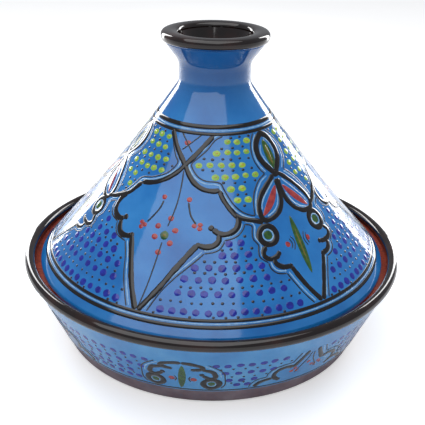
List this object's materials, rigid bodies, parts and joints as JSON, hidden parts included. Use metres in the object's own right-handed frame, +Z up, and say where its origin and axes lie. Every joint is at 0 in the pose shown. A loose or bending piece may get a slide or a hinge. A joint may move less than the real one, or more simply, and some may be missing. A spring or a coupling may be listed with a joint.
{
  "type": "tagine pot",
  "caption": "Round earthenware cooking dish with a beaded rim and a tall conical lid that lifts off, topped by an open flared cup.",
  "frame": {"origin": "centre of the ring that the dish stands on, at floor level", "axes": "+Z up along the axis of both pots; +X to the right and -Y towards the viewer"},
  "size_m": [0.304, 0.304, 0.2442],
  "materials": {
    "terracotta": "matt fired red earthenware",
    "blue_glaze": "glossy azure glaze",
    "brown_glaze": "glossy dark brown glaze",
    "clear_glaze": "glossy clear glaze over red clay"
  },
  "bodies": {
    "dish": {"dish_body": "terracotta", "dish_wall_glaze": "blue_glaze", "dish_bead_glaze": "brown_glaze", "dish_bowl_glaze": "clear_glaze"},
    "lid": {"lid_cone": "terracotta", "lid_cup": "terracotta", "lid_glaze": "blue_glaze", "cup_glaze": "brown_glaze"}
  },
  "joints": [
    {"name": "lid_lift", "type": "slide", "parent": "dish", "child": "lid", "axis": [0, 0, 1], "range_m": [0, 0.15]}
  ]
}
